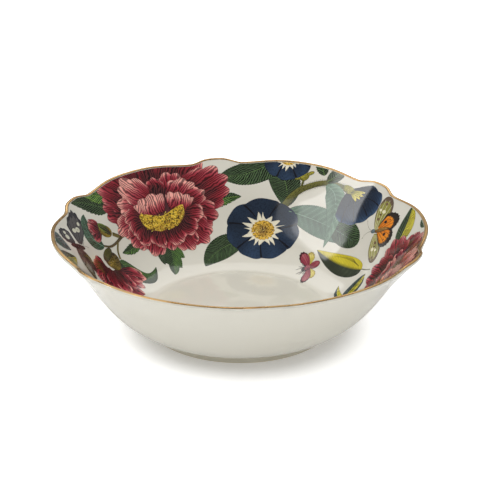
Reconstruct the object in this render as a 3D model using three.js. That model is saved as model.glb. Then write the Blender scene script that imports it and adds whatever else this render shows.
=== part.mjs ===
// Porcelain serving bowl with a scalloped, gilded rim and transfer-printed flowers inside.
// Millimetres, +Z up. Origin: middle of the foot's resting plane. Azimuth 0 is +X, 90 is +Y.
import * as THREE from "three";

// ---- driving dimensions ---------------------------------------------------------------------
const lipRadius = 126; // mean outer radius, over the gilding
const lipTop = 70.5; // mean height of the lip, over the gilding
const lipThickness = 3; // porcelain at the rounded lip
const lipSlope = 47; // degrees from the level, at the lip
const flareWidth = 19.5; // lip to shoulder, across
const flareHeight = 26; // lip to shoulder, down
const shoulderSlope = 56; // degrees, where the flare leaves the cup
const wallThickness = 4.1;
const floorThickness = 5.4;
const floorRadius = 59; // flat of the well
const wellSlope = 5; // degrees, where the inside leaves the flat
const baseSlope = 20; // degrees, where the wall leaves the foot

const footHeight = 4.8;
const footRadius = 62.8; // outside of the foot ring
const footWidth = 5.6;
const footRounding = 1; // both edges of the resting face
const footFlare = 0.8; // how far the ring's inside leans in towards its top
const seatMargin = 0.8; // porcelain beyond the foot before the wall turns up

const scallopPeriods = 6; // each period is one narrow and one broad lobe
const scallopDepth = 3.2; // radial, notch to crest
const scallopRise = 1.75; // vertical, notch to crest
const narrowLobeHalf = 8.5; // degrees
const scallopPhase = 38.3; // degrees, crest of the first narrow lobe
const lobeRoundness = 1.5; // above 1 the crests are broad and the notches tight
const lobeMean = 0.62; // mean of the lobe wave, so that lipRadius stays the mean radius
const scallopReach = 32; // how far below the lip the waves fade out

const gildingThickness = 0.25;
const gildingGap = 0.3; // clearance under the gilding
const gildingWrap = 95; // degrees each way round the lip
const printThickness = 0.3;
const printGap = 0.45; // clearance under the printed skins

// ---- facets ---------------------------------------------------------------------------------
const narrowSteps = 6;
const broadSteps = 12;
const wallFacet = 8.5; // longest step along the wall's section
const lipSteps = 4;
const printSpokes = 20;
const printFacet = 9; // widest ring of a printed skin

const degrees = Math.PI / 180;
const period = 360 / scallopPeriods;
const lipCore = lipThickness / 2;
const lipInset = lipCore + gildingGap + gildingThickness;
const floorLevel = footHeight + floorThickness;

// ---- the wall's section, in (radius, height) --------------------------------------------------
const pair = (radius, height) => new THREE.Vector2(radius, height);
const along = (slope) => pair(Math.cos(slope * degrees), Math.sin(slope * degrees));
const inward = (slope) => pair(-Math.sin(slope * degrees), Math.cos(slope * degrees));
const moved = (point, direction, distance) => point.clone().addScaledVector(direction, distance);

const lipCentre = pair(lipRadius - lipInset, lipTop - lipInset);
const lipOutside = moved(lipCentre, inward(lipSlope), -lipCore);
const lipInside = moved(lipCentre, inward(lipSlope), lipCore);
const shoulderOutside = pair(lipRadius - flareWidth, lipTop - flareHeight);
const shoulderInside = moved(shoulderOutside, inward(shoulderSlope), wallThickness);
const seatEdge = pair(footRadius + seatMargin, footHeight);
const floorEdge = pair(floorRadius, floorLevel);

// A cubic from start to end; each handle is a share of the distance between them.
function bend(start, startSlope, startShare, end, endSlope, endShare) {
  const span = start.distanceTo(end);
  const first = moved(start, along(startSlope), startShare * span);
  const second = moved(end, along(endSlope), -endShare * span);
  return new THREE.CubicBezierCurve(start, first, second, end);
}

const cupOutside = bend(seatEdge, baseSlope, 0.43, shoulderOutside, shoulderSlope, 0.37);
const flareOutside = bend(shoulderOutside, shoulderSlope, 0.3, lipOutside, lipSlope, 0.3);
const cupInside = bend(floorEdge, wellSlope, 0.38, shoulderInside, shoulderSlope, 0.37);
const flareInside = bend(shoulderInside, shoulderSlope, 0.3, lipInside, lipSlope, 0.3);

// Evenly spaced points from a curve's start to its end.
function facetPoints(curve) {
  return curve.getSpacedPoints(Math.ceil(curve.getLength() / wallFacet));
}

// Points round the lip's centre, from one side of the wall's direction to the other.
function lipArc(radius, wrap, steps) {
  const points = [];
  for (let i = 0; i <= steps; i += 1) {
    const slope = lipSlope - wrap + (2 * wrap * i) / steps;
    points.push(moved(lipCentre, along(slope), radius));
  }
  return points;
}

// ---- the scallop ----------------------------------------------------------------------------
function lobeWave(azimuth) {
  const offset = THREE.MathUtils.euclideanModulo(azimuth - scallopPhase + period / 2, period);
  const fromCrest = Math.abs(offset - period / 2);
  const inNarrow = fromCrest < narrowLobeHalf;
  const broadHalf = period / 2 - narrowLobeHalf;
  const share = inNarrow ? fromCrest / narrowLobeHalf : (period / 2 - fromCrest) / broadHalf;
  return 0.5 + 0.5 * Math.cos(Math.PI * share ** lobeRoundness) - lobeMean;
}

function scalloped(point, azimuth) {
  const level = (point.y - (lipTop - scallopReach)) / (scallopReach - lipInset);
  const fade = THREE.MathUtils.clamp(level, 0, 1.05) ** 2;
  const wave = lobeWave(azimuth) * fade;
  const radius = point.x + scallopDepth * wave;
  const height = point.y + scallopRise * wave;
  const turn = azimuth * degrees;
  return new THREE.Vector3(radius * Math.cos(turn), radius * Math.sin(turn), height);
}

// Azimuths of the facets, with one on every notch and every crest.
function stations() {
  const list = [];
  for (let k = 0; k < scallopPeriods; k += 1) {
    const notch = scallopPhase + k * period - narrowLobeHalf;
    for (let i = 0; i < narrowSteps; i += 1) {
      list.push(notch + (2 * narrowLobeHalf * i) / narrowSteps);
    }
    for (let i = 0; i < broadSteps; i += 1) {
      const width = period - 2 * narrowLobeHalf;
      list.push(notch + 2 * narrowLobeHalf + (width * i) / broadSteps);
    }
  }
  return list;
}
const azimuths = stations();

// ---- geometry helpers -----------------------------------------------------------------------
function indexed(points, triangles) {
  const geometry = new THREE.BufferGeometry();
  const positions = points.flatMap((point) => [point.x, point.y, point.z]);
  geometry.setAttribute("position", new THREE.Float32BufferAttribute(positions, 3));
  geometry.setIndex(triangles);
  geometry.computeVertexNormals();
  return geometry;
}

// Sweeps a section round the axis with the scallop on it. The section runs anticlockwise
// (outwards along the bottom, back along the top) and closes on the axis or on itself.
function swept(section, closedOnAxis) {
  const rows = closedOnAxis ? section.slice(1, -1) : section;
  const points = azimuths.flatMap((azimuth) => rows.map((point) => scalloped(point, azimuth)));
  const triangles = [];
  const count = azimuths.length;
  const size = rows.length;
  const last = closedOnAxis ? size - 1 : size;
  for (let i = 0; i < count; i += 1) {
    const here = i * size;
    const next = ((i + 1) % count) * size;
    for (let j = 0; j < last; j += 1) {
      const k = (j + 1) % size;
      triangles.push(here + j, next + j, next + k);
      triangles.push(here + j, next + k, here + k);
    }
  }
  if (closedOnAxis) {
    const below = points.push(scalloped(section[0], 0)) - 1;
    const above = points.push(scalloped(section[section.length - 1], 0)) - 1;
    for (let i = 0; i < count; i += 1) {
      const here = i * size;
      const next = ((i + 1) % count) * size;
      triangles.push(below, next, here);
      triangles.push(above, here + size - 1, next + size - 1);
    }
  }
  return indexed(points, triangles);
}

// ---- the printed skins ------------------------------------------------------------------------
// The inside of the wall, measured along its section from the edge of the floor.
const insideWall = new THREE.CurvePath();
insideWall.add(cupInside);
insideWall.add(flareInside);
const wallLength = insideWall.getLength();

function onWall(azimuth, climb, stand) {
  const share = THREE.MathUtils.clamp(climb, 0, 1);
  const point = insideWall.getPoint(share);
  const step = 0.002;
  const ahead = insideWall.getPoint(Math.min(share + step, 1));
  const behind = insideWall.getPoint(Math.max(share - step, 0));
  const direction = ahead.sub(behind).normalize();
  return scalloped(moved(point, pair(-direction.y, direction.x), stand), azimuth);
}

// A thin curved skin with a lobed outline: a lobe count of 0 is a plain oval.
function skin({ azimuth, climb, spread, rise, tilt = 0, lobes = 0, lobeDepth = 0 }) {
  const wallRadius = insideWall.getPoint(climb).x;
  const width = spread * degrees * wallRadius;
  const height = rise * wallLength;
  const rings = Math.ceil(Math.max(width, height) / 2 / printFacet);
  const turn = tilt * degrees;
  const place = (spoke, ring, stand) => {
    const angle = (2 * Math.PI * spoke) / printSpokes;
    const reach = (ring / rings) * (1 - lobeDepth * (0.5 - 0.5 * Math.cos(lobes * angle)));
    const across = (width / 2) * reach * Math.cos(angle);
    const up = (height / 2) * reach * Math.sin(angle);
    const aside = across * Math.cos(turn) - up * Math.sin(turn);
    const lift = across * Math.sin(turn) + up * Math.cos(turn);
    return onWall(azimuth - aside / wallRadius / degrees, climb + lift / wallLength, stand);
  };
  const points = [];
  for (const stand of [printGap, printGap + printThickness]) {
    points.push(place(0, 0, stand));
    for (let ring = 1; ring <= rings; ring += 1) {
      for (let spoke = 0; spoke < printSpokes; spoke += 1) {
        points.push(place(spoke, ring, stand));
      }
    }
  }
  const face = 1 + rings * printSpokes;
  const at = (side, ring, spoke) => {
    return side * face + 1 + (ring - 1) * printSpokes + (spoke % printSpokes);
  };
  const triangles = [];
  const add = (side, a, b, c) => triangles.push(...(side ? [a, b, c] : [a, c, b]));
  for (let spoke = 0; spoke < printSpokes; spoke += 1) {
    for (const side of [0, 1]) {
      add(side, side * face, at(side, 1, spoke), at(side, 1, spoke + 1));
      for (let ring = 1; ring < rings; ring += 1) {
        add(side, at(side, ring, spoke), at(side, ring + 1, spoke), at(side, ring + 1, spoke + 1));
        add(side, at(side, ring, spoke), at(side, ring + 1, spoke + 1), at(side, ring, spoke + 1));
      }
    }
    triangles.push(at(0, rings, spoke), at(0, rings, spoke + 1), at(1, rings, spoke + 1));
    triangles.push(at(0, rings, spoke), at(1, rings, spoke + 1), at(1, rings, spoke));
  }
  return indexed(points, triangles);
}

// Azimuth, spread and tilt in degrees; climb and rise are shares of the wall's length, because
// a transfer is drawn to fit the wall.
const crimson = "#8f2b40";
const navy = "#2b3a5c";
const green = "#34573f";
const yellow = "#b9a83a";
const slate = "#4b4a4c";
const rose = "#a8445a";
const orange = "#c9701f";
const peony = { colour: crimson, climb: 0.64, rise: 0.54, lobes: 8, lobeDepth: 0.1 };
const blueFlower = { colour: navy, climb: 0.44, spread: 31, rise: 0.49, lobes: 7, lobeDepth: 0.06 };
const leaf = { colour: green };
const prints = {
  peony_left: { ...peony, azimuth: 123.5, spread: 43 },
  leaf_pair_left: { ...leaf, azimuth: 152.5, climb: 0.88, spread: 7, rise: 0.12 },
  bud_left: { colour: crimson, azimuth: 159, climb: 0.73, spread: 12.5, rise: 0.15 },
  drooping_bloom: { colour: crimson, azimuth: 168, climb: 0.38, spread: 12, rise: 0.4 },
  curled_leaf: { ...leaf, azimuth: 149, climb: 0.29, spread: 17.5, rise: 0.12, tilt: -35 },
  hanging_leaf: { ...leaf, azimuth: 127, climb: 0.24, spread: 8, rise: 0.18 },
  dark_butterfly: { colour: slate, azimuth: 183.5, climb: 0.72, spread: 14, rise: 0.37 },
  blue_flower: { ...blueFlower, azimuth: 80.5 },
  leaf_low: { ...leaf, azimuth: 103.5, climb: 0.24, spread: 14, rise: 0.15, tilt: 35 },
  leaf_high: { ...leaf, azimuth: 89, climb: 0.85, spread: 15, rise: 0.19 },
  blue_flower_high: { colour: navy, azimuth: 74, climb: 0.87, spread: 9, rise: 0.14 },
  broad_leaf: { ...leaf, azimuth: 51, climb: 0.55, spread: 28, rise: 0.18 },
  blue_flower_side: { colour: navy, azimuth: 42, climb: 0.815, spread: 10, rise: 0.28 },
  orange_butterfly: { colour: orange, azimuth: 23.5, climb: 0.72, spread: 14, rise: 0.41 },
  pink_moth: { colour: rose, azimuth: 49, climb: 0.2, spread: 13, rise: 0.17 },
  yellow_leaf: { colour: yellow, azimuth: 31, climb: 0.35, spread: 17.5, rise: 0.15 },
  peony_right: { ...peony, azimuth: -10, climb: 0.61, spread: 39, rise: 0.58 },
  yellow_pod: { colour: yellow, azimuth: 12.5, climb: 0.2, spread: 11, rise: 0.18 },
  leaf_near: { ...leaf, azimuth: 322, climb: 0.41, spread: 13, rise: 0.33 },
  blue_flower_near: { ...blueFlower, azimuth: 297 },
  moth_near: { colour: rose, azimuth: 272, climb: 0.19, spread: 13, rise: 0.16 },
  peony_near: { ...peony, azimuth: 246, spread: 41 },
  leaf_spray_near: { ...leaf, azimuth: 211, climb: 0.54, spread: 15, rise: 0.48 },
};

// ---- assembly -------------------------------------------------------------------------------
const bowl = new THREE.Group();

function addPart(name, geometry, color, roughness, metalness) {
  const material = new THREE.MeshStandardMaterial({ color, roughness, metalness });
  const mesh = new THREE.Mesh(geometry, material);
  mesh.name = name;
  bowl.add(mesh);
}

function bowlBody() {
  const section = [pair(0, footHeight)];
  section.push(...facetPoints(cupOutside));
  section.push(...facetPoints(flareOutside).slice(1));
  section.push(...lipArc(lipCore, 90, lipSteps).slice(1, -1));
  section.push(...facetPoints(flareInside).reverse());
  section.push(...facetPoints(cupInside).reverse().slice(1));
  section.push(pair(0, floorLevel));
  return swept(section, true);
}

function footRing() {
  const inner = footRadius - footWidth;
  const profile = [];
  const corner = (radius, from) => {
    for (const share of [0, 0.5, 1]) {
      const angle = (from + 90 * share) * degrees;
      const across = radius + footRounding * Math.cos(angle);
      profile.push(pair(across, footRounding + footRounding * Math.sin(angle)));
    }
  };
  corner(inner + footRounding, 180);
  corner(footRadius - footRounding, 270);
  profile.push(pair(footRadius, footHeight));
  profile.push(pair(inner - footFlare, footHeight));
  profile.push(profile[0].clone());
  const geometry = new THREE.LatheGeometry(profile, azimuths.length);
  geometry.rotateX(Math.PI / 2);
  return geometry;
}

function gildedRim() {
  const under = lipCore + gildingGap;
  const outerArc = lipArc(under + gildingThickness, gildingWrap, lipSteps);
  const innerArc = lipArc(under, gildingWrap, lipSteps).reverse();
  return swept([...outerArc, ...innerArc], false);
}

addPart("bowl_body", bowlBody(), "#e4e0d2", 0.12, 0);
addPart("foot_ring", footRing(), "#dcd6c2", 0.2, 0);
addPart("gilded_rim", gildedRim(), "#b98d4e", 0.25, 1);
for (const [name, print] of Object.entries(prints)) {
  addPart(`print_${name}`, skin(print), print.colour, 0.15, 0);
}

export default bowl;
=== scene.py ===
# Looks of the porcelain serving bowl: fine porcelain, gilded lip and the printed flowers inside.
import math

import bmesh
import bpy
import numpy as np
from mathutils import Matrix, Vector


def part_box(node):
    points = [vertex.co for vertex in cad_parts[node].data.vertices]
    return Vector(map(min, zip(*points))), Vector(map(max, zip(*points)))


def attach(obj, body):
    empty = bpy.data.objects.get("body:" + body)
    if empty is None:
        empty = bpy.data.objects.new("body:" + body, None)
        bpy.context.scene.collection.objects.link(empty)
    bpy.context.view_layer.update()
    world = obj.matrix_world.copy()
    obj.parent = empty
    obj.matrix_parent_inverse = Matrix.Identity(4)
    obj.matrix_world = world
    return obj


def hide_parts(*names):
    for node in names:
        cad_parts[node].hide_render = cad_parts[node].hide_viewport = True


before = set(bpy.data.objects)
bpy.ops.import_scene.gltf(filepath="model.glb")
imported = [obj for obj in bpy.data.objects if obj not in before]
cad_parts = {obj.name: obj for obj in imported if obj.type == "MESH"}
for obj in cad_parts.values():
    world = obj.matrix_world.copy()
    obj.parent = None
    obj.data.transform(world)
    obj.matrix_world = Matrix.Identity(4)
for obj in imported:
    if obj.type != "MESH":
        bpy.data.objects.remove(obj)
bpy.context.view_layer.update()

# ---- sizes in millimetres and slopes in degrees, as the CAD model has them ----
MM = 0.001
FOOT_HIGH = Vector(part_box("foot_ring")[1]) / MM
FOOT_RADIUS = FOOT_HIGH.x
FOOT_HEIGHT = FOOT_HIGH.z
FOOT_WIDTH = 5.6
FLOOR_LEVEL = FOOT_HEIGHT + 5.4
FLOOR_RADIUS = 59
WELL_SLOPE = 5
BASE_SLOPE = 20
SEAT_MARGIN = 0.8
LIP_RADIUS = 126
LIP_TOP = 70.5
LIP_CORE = 1.5
LIP_INSET = 2.05
LIP_SLOPE = 47
FLARE_WIDTH = 19.5
FLARE_HEIGHT = 26
SHOULDER_SLOPE = 56
WALL = 4.1
PERIOD = 60  # degrees from one crest to the next
SCALLOP_DEPTH = 3.2
SCALLOP_RISE = 1.75
NARROW_HALF = 8.5  # degrees
SCALLOP_PHASE = 38.3
LOBE_ROUNDNESS = 1.5
LOBE_MEAN = 0.62
SCALLOP_REACH = 32

# ---- fineness ----
AROUND = 480
CUP_STEPS = 56
FLARE_STEPS = 30
LIP_STEPS = 12
DRAWING_RADIUS = 95  # a drawing's millimetres across are turned into azimuth at this radius
PRINT_LOW_MARGIN = 0.5  # bare wall below the drawings, and above them
PRINT_HIGH_MARGIN = 0.55
PRINT_STAND = 0.02  # the lowest ink layer over the porcelain
LAYER_STEP = 0.006  # each later layer lies this much higher
CELL = 1.25  # mesh size of the ink
GILT_OUTSIDE = 6  # degrees round the lip that the gold reaches outside its crest
GILT_INSIDE = 0.25  # how far it runs down inside


# ---- the wall ----
def heading(degrees):
    angle = math.radians(degrees)
    return np.array([math.cos(angle), math.sin(angle)])


def inward(degrees):
    return heading(degrees + 90)


def cubic(start, start_slope, start_share, end, end_slope, end_share, steps):
    span = np.linalg.norm(end - start)
    first = start + heading(start_slope) * start_share * span
    second = end - heading(end_slope) * end_share * span
    t = np.linspace(0, 1, steps + 1)[:, None]
    s = 1 - t
    return s**3 * start + 3 * s * s * t * first + 3 * s * t * t * second + t**3 * end


LIP_CENTRE = np.array([LIP_RADIUS - LIP_INSET, LIP_TOP - LIP_INSET])
SHOULDER_OUTSIDE = np.array([LIP_RADIUS - FLARE_WIDTH, LIP_TOP - FLARE_HEIGHT])
SHOULDER_INSIDE = SHOULDER_OUTSIDE + inward(SHOULDER_SLOPE) * WALL
SEAT_EDGE = np.array([FOOT_RADIUS + SEAT_MARGIN, FOOT_HEIGHT])
FLOOR_EDGE = np.array([FLOOR_RADIUS, FLOOR_LEVEL])


def outside_curve():
    lip = LIP_CENTRE - inward(LIP_SLOPE) * LIP_CORE
    cup = cubic(SEAT_EDGE, BASE_SLOPE, 0.43, SHOULDER_OUTSIDE, SHOULDER_SLOPE, 0.37, CUP_STEPS)
    flare = cubic(SHOULDER_OUTSIDE, SHOULDER_SLOPE, 0.3, lip, LIP_SLOPE, 0.3, FLARE_STEPS)
    return np.concatenate([cup, flare[1:]])


def inside_curve(fineness=1):
    lip = LIP_CENTRE + inward(LIP_SLOPE) * LIP_CORE
    steps = CUP_STEPS * fineness, FLARE_STEPS * fineness
    cup = cubic(FLOOR_EDGE, WELL_SLOPE, 0.38, SHOULDER_INSIDE, SHOULDER_SLOPE, 0.37, steps[0])
    flare = cubic(SHOULDER_INSIDE, SHOULDER_SLOPE, 0.3, lip, LIP_SLOPE, 0.3, steps[1])
    return np.concatenate([cup, flare[1:]])


def lobe_wave(azimuth):
    from_crest = np.abs((azimuth - SCALLOP_PHASE + PERIOD / 2) % PERIOD - PERIOD / 2)
    narrow = from_crest / NARROW_HALF
    broad = (PERIOD / 2 - from_crest) / (PERIOD / 2 - NARROW_HALF)
    share = np.clip(np.where(from_crest < NARROW_HALF, narrow, broad), 0, 1)
    return 0.5 + 0.5 * np.cos(np.pi * share**LOBE_ROUNDNESS) - LOBE_MEAN


def scalloped(radius, height, azimuth):
    """Puts section points at their azimuths, with the scallop on them. Gives metres."""
    level = (height - (LIP_TOP - SCALLOP_REACH)) / (SCALLOP_REACH - LIP_INSET)
    wave = lobe_wave(azimuth) * np.clip(level, 0, 1.05) ** 2
    r = radius + SCALLOP_DEPTH * wave
    z = height + SCALLOP_RISE * wave
    turn = np.radians(azimuth)
    return np.stack([r * np.cos(turn), r * np.sin(turn), z], axis=-1) * MM


INSIDE = inside_curve(fineness=6)
INSIDE_STEPS = np.linalg.norm(np.diff(INSIDE, axis=0), axis=1)
INSIDE_CLIMB = np.concatenate([[0], np.cumsum(INSIDE_STEPS)])
WALL_LENGTH = INSIDE_CLIMB[-1]


def on_wall(azimuth, climb, stand):
    """Points over the inside of the wall: climb is measured up it from the edge of the floor."""
    ahead = np.minimum(climb + 0.2, WALL_LENGTH)
    behind = np.maximum(climb - 0.2, 0)
    run = np.interp(ahead, INSIDE_CLIMB, INSIDE[:, 0]) - np.interp(behind, INSIDE_CLIMB, INSIDE[:, 0])
    lift = np.interp(ahead, INSIDE_CLIMB, INSIDE[:, 1]) - np.interp(behind, INSIDE_CLIMB, INSIDE[:, 1])
    length = np.hypot(run, lift)
    radius = np.interp(climb, INSIDE_CLIMB, INSIDE[:, 0]) - lift / length * stand
    height = np.interp(climb, INSIDE_CLIMB, INSIDE[:, 1]) + run / length * stand
    return scalloped(radius, height, azimuth)


# ---- mesh helpers ----
def add_piece(name, mesh, material, replaced):
    mesh.materials.append(material)
    mesh.polygons.foreach_set("use_smooth", [True] * len(mesh.polygons))
    piece = bpy.data.objects.new(name, mesh)
    bpy.context.scene.collection.objects.link(piece)
    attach(piece, "root")
    if replaced:
        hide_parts(*replaced)


def add_swept(name, section, closed_on_axis, material, replaced):
    """A piece made by carrying its section round the axis."""
    points, faces = swept(section, closed_on_axis)
    mesh = bpy.data.meshes.new(name)
    mesh.from_pydata([tuple(p) for p in points], [], faces)
    mesh.validate()
    add_piece(name, mesh, material, [replaced])


def swept(section, closed_on_axis):
    """Points and faces of a section carried round the axis. It runs anticlockwise."""
    azimuths = SCALLOP_PHASE + np.arange(AROUND) * 360 / AROUND
    rows = section[1:-1] if closed_on_axis else section
    grid = scalloped(rows[None, :, 0], rows[None, :, 1], azimuths[:, None])
    size = len(rows)
    points = list(grid.reshape(-1, 3))
    faces = []
    last = size - 1 if closed_on_axis else size
    for i in range(AROUND):
        here = i * size
        there = (i + 1) % AROUND * size
        for j in range(last):
            k = (j + 1) % size
            faces.append((here + j, there + j, there + k, here + k))
    if closed_on_axis:
        below = len(points)
        points.append(np.array([0, 0, section[0][1]]) * MM)
        points.append(np.array([0, 0, section[-1][1]]) * MM)
        for i in range(AROUND):
            here = i * size
            there = (i + 1) % AROUND * size
            faces.append((below, there, here))
            faces.append((below + 1, here + size - 1, there + size - 1))
    return points, faces


def arc(centre, radius, start, end, steps):
    return np.array([centre + heading(a) * radius for a in np.linspace(start, end, steps + 1)])


# ---- colour ----
def linear(red, green, blue):
    """A display colour of 0 to 255 as the linear values that shaders use."""
    values = np.array([red, green, blue]) / 255
    low = values / 12.92
    high = ((values + 0.055) / 1.055) ** 2.4
    return np.where(values <= 0.04045, low, high)


def shades(*stops):
    """Stops of a ramp, each given as its place and its display colour."""
    return [(place, linear(*colour)) for place, *colour in stops]


def ramp(stops, position):
    """Colours at each position along (place, colour) stops."""
    places = [place for place, _ in stops]
    colours = np.array([colour for _, colour in stops])
    channels = [np.interp(position, places, colours[:, c]) for c in range(3)]
    return np.stack(channels, axis=-1)


# ---- materials ----
class Nodes:
    """A material's node tree, built by short calls."""

    def __init__(self, name):
        self.material = bpy.data.materials.new(name)
        self.material.use_nodes = True
        self.tree = self.material.node_tree
        self.shader = self.tree.nodes["Principled BSDF"]
        self.place = self.add("TexCoord").outputs["Object"]

    def add(self, kind, **settings):
        node = self.tree.nodes.new("ShaderNode" + kind)
        for key, value in settings.items():
            setattr(node, key, value)
        return node

    def link(self, source, target):
        self.tree.links.new(source, target)

    def set(self, socket, value):
        if hasattr(value, "is_output"):
            self.link(value, socket)
        else:
            socket.default_value = value

    def math(self, operation, a, b=0.0, clamp=False):
        node = self.add("Math", operation=operation, use_clamp=clamp)
        for socket, value in zip(node.inputs, (a, b)):
            self.set(socket, value)
        return node.outputs[0]

    def smooth(self, value, low, high, start=0.0, end=1.0):
        node = self.add("MapRange", interpolation_type="SMOOTHSTEP")
        for socket, item in zip(node.inputs, (value, low, high, start, end)):
            self.set(socket, item)
        return node.outputs[0]

    def mix(self, factor, a, b, blend="MIX"):
        node = self.add("Mix", data_type="RGBA", blend_type=blend)
        self.set(node.inputs[0], factor)
        self.set(node.inputs[6], a)
        self.set(node.inputs[7], b)
        return node.outputs[2]

    def noise(self, scale, detail):
        node = self.add("TexNoise")
        self.set(node.inputs["Scale"], scale)
        self.set(node.inputs["Detail"], detail)
        self.link(self.place, node.inputs["Vector"])
        return node.outputs["Fac"]

    def height(self):
        node = self.add("SeparateXYZ")
        self.link(self.place, node.inputs[0])
        return node.outputs["Z"]

    def surface(self, values):
        for name, value in values.items():
            self.set(self.shader.inputs[name], value)

    def bump(self, height, strength, distance):
        node = self.add("Bump")
        for name, value in (("Height", height), ("Strength", strength), ("Distance", distance)):
            self.set(node.inputs[name], value)
        self.link(node.outputs[0], self.shader.inputs["Normal"])


def rgba(colour):
    return (*[float(c) for c in colour], 1.0)


def paint(red, green, blue):
    return rgba(linear(red, green, blue))


def porcelain_material():
    n = Nodes("glazed porcelain")
    warm = paint(209, 204, 187)
    cloud = n.smooth(n.noise(14, 2), 0.35, 0.65)
    # Painted shade: the glaze is painted darker and warmer towards the foot, where the lower body is
    # shaded.
    shade_near_foot = n.smooth(n.height(), 0.001, 0.016, 0.85, 0.0)
    body = n.mix(n.math("MULTIPLY", cloud, 0.16), paint(216, 213, 201), warm)
    body = n.mix(shade_near_foot, body, warm)
    speck = n.smooth(n.noise(900, 1), 0.74, 0.80, 0.0, 0.35)
    body = n.mix(speck, body, paint(196, 188, 166))
    n.surface({"Base Color": body, "Roughness": 0.05, "IOR": 1.52})
    n.bump(n.noise(60, 2), 0.012, 0.0004)
    return n.material


def bare_foot_material():
    n = Nodes("foot porcelain")
    glazed = n.smooth(n.height(), 0.0004, 0.0012)
    grain = n.noise(1500, 3)
    biscuit = n.mix(grain, paint(206, 196, 172), paint(224, 218, 200))
    glaze = n.mix(n.noise(60, 2), paint(208, 202, 182), paint(217, 212, 196))
    roughness = n.smooth(glazed, 0.0, 1.0, 0.75, 0.1)
    n.surface({"Base Color": n.mix(glazed, biscuit, glaze), "Roughness": roughness})
    n.bump(grain, n.smooth(glazed, 0.0, 1.0, 0.5, 0.0), 0.0002)
    return n.material


def gold_material():
    n = Nodes("burnished gold")
    patch = n.smooth(n.noise(45, 2), 0.35, 0.7)
    gold = n.mix(patch, paint(206, 170, 116), paint(186, 146, 92))
    roughness = n.smooth(n.noise(80, 2), 0.3, 0.7, 0.22, 0.34)
    n.surface({"Base Color": gold, "Metallic": 0.85, "Roughness": roughness})
    n.bump(n.noise(120, 2), 0.05, 0.0002)
    return n.material


def ink_material(name, glow):
    """Ink of a transfer: painted colours, with engraved lines, stipple and a dark outline.

    The pigment attribute is the painted colour and, in alpha, how stippled it is. The detail
    attribute is the line phase, the line strength, the distance from the outline in
    millimetres and the outline's darkness.
    """
    n = Nodes(name)
    pigment = n.add("Attribute", attribute_name="pigment")
    detail = n.add("Attribute", attribute_name="detail")
    parts = n.add("SeparateColor")
    n.link(detail.outputs["Color"], parts.inputs[0])
    phase, strength, from_edge = parts.outputs
    darkness = detail.outputs["Alpha"]
    stipple = pigment.outputs["Alpha"]

    wobble = n.math("MULTIPLY", n.math("SUBTRACT", n.noise(260, 3), 0.5), 1.6)
    turns = n.math("ADD", phase, wobble)
    wave = n.math("SINE", n.math("MULTIPLY", turns, 2 * math.pi))
    swell = n.math("MULTIPLY", n.math("SUBTRACT", n.noise(210, 2), 0.5), 1.6)
    line = n.smooth(n.math("ADD", wave, swell), -0.35, 0.5)
    line = n.math("MULTIPLY", line, strength)
    dots = n.smooth(n.noise(900, 1), 0.5, 0.6)
    line = n.math("MAXIMUM", line, n.math("MULTIPLY", dots, stipple))
    outline = n.math("MULTIPLY", n.smooth(from_edge, 0.1, 0.5, 1.0, 0.0), darkness)
    line = n.math("MAXIMUM", line, outline, clamp=True)

    painted = pigment.outputs["Color"]
    dark = n.mix(1.0, painted, rgba([0.14, 0.13, 0.16]), "MULTIPLY")
    lift = n.math("MAXIMUM", strength, stipple)
    light = n.mix(lift, painted, rgba([1.3, 1.3, 1.3]), "MULTIPLY")
    light = n.mix(lift, light, rgba(glow), "ADD")
    n.surface({"Base Color": n.mix(line, light, dark), "Roughness": 0.09, "IOR": 1.52})
    n.bump(line, 0.03, 0.0002)
    return n.material


def floor_material():
    n = Nodes("studio floor")
    n.surface({"Base Color": rgba([0.95] * 3), "Roughness": 0.9, "Specular IOR Level": 0.1})
    n.surface({"Emission Color": rgba([1, 1, 1]), "Emission Strength": 0.19})
    return n.material


def glow_material():
    """A light table: it glows everywhere but round the foot, so the shadow stays close to it."""
    n = Nodes("studio light table")
    from_foot = n.add("VectorMath", operation="DISTANCE")
    n.link(n.place, from_foot.inputs[0])
    from_foot.inputs[1].default_value = SHADOW_MIDDLE
    glow = n.smooth(from_foot.outputs["Value"], GLOW_STARTS, GLOW_FULL, 0.0, 0.5)
    emission = n.add("Emission")
    n.link(glow, emission.inputs["Strength"])
    both = n.add("AddShader")
    n.link(emission.outputs[0], both.inputs[0])
    n.link(n.add("BsdfTransparent").outputs[0], both.inputs[1])
    n.link(both.outputs[0], n.tree.nodes["Material Output"].inputs["Surface"])
    return n.material


PAPER_GLOW = {
    "crimson": (0.07, 0.016, 0.014),
    "navy": (0.02, 0.028, 0.034),
    "green": (0.055, 0.085, 0.038),
    "yellow": (0.05, 0.05, 0.02),
    "insect": (0.04, 0.035, 0.03),
}
INK = {family: ink_material(family + " ink", glow) for family, glow in PAPER_GLOW.items()}


# ---- porcelain and gold ----
def bowl_body():
    lip = arc(LIP_CENTRE, LIP_CORE, LIP_SLOPE - 90, LIP_SLOPE + 90, LIP_STEPS)
    rings = np.linspace(0, 1, 16)[:-1, None] ** 1.8  # closest near the edge of the floor
    underside = np.array([0, FOOT_HEIGHT]) * rings[:0:-1] + SEAT_EDGE * (1 - rings[:0:-1])
    underside = np.concatenate([[[0, FOOT_HEIGHT]], underside])
    well = FLOOR_EDGE * (1 - rings) + np.array([0, FLOOR_LEVEL]) * rings
    inside = inside_curve()[::-1]
    section = np.concatenate(
        [underside, outside_curve(), lip[1:-1], inside[:-1], well, [[0, FLOOR_LEVEL]]]
    )
    material = porcelain_material()
    add_swept("bowl_porcelain", section, True, material, "bowl_body")


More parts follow.
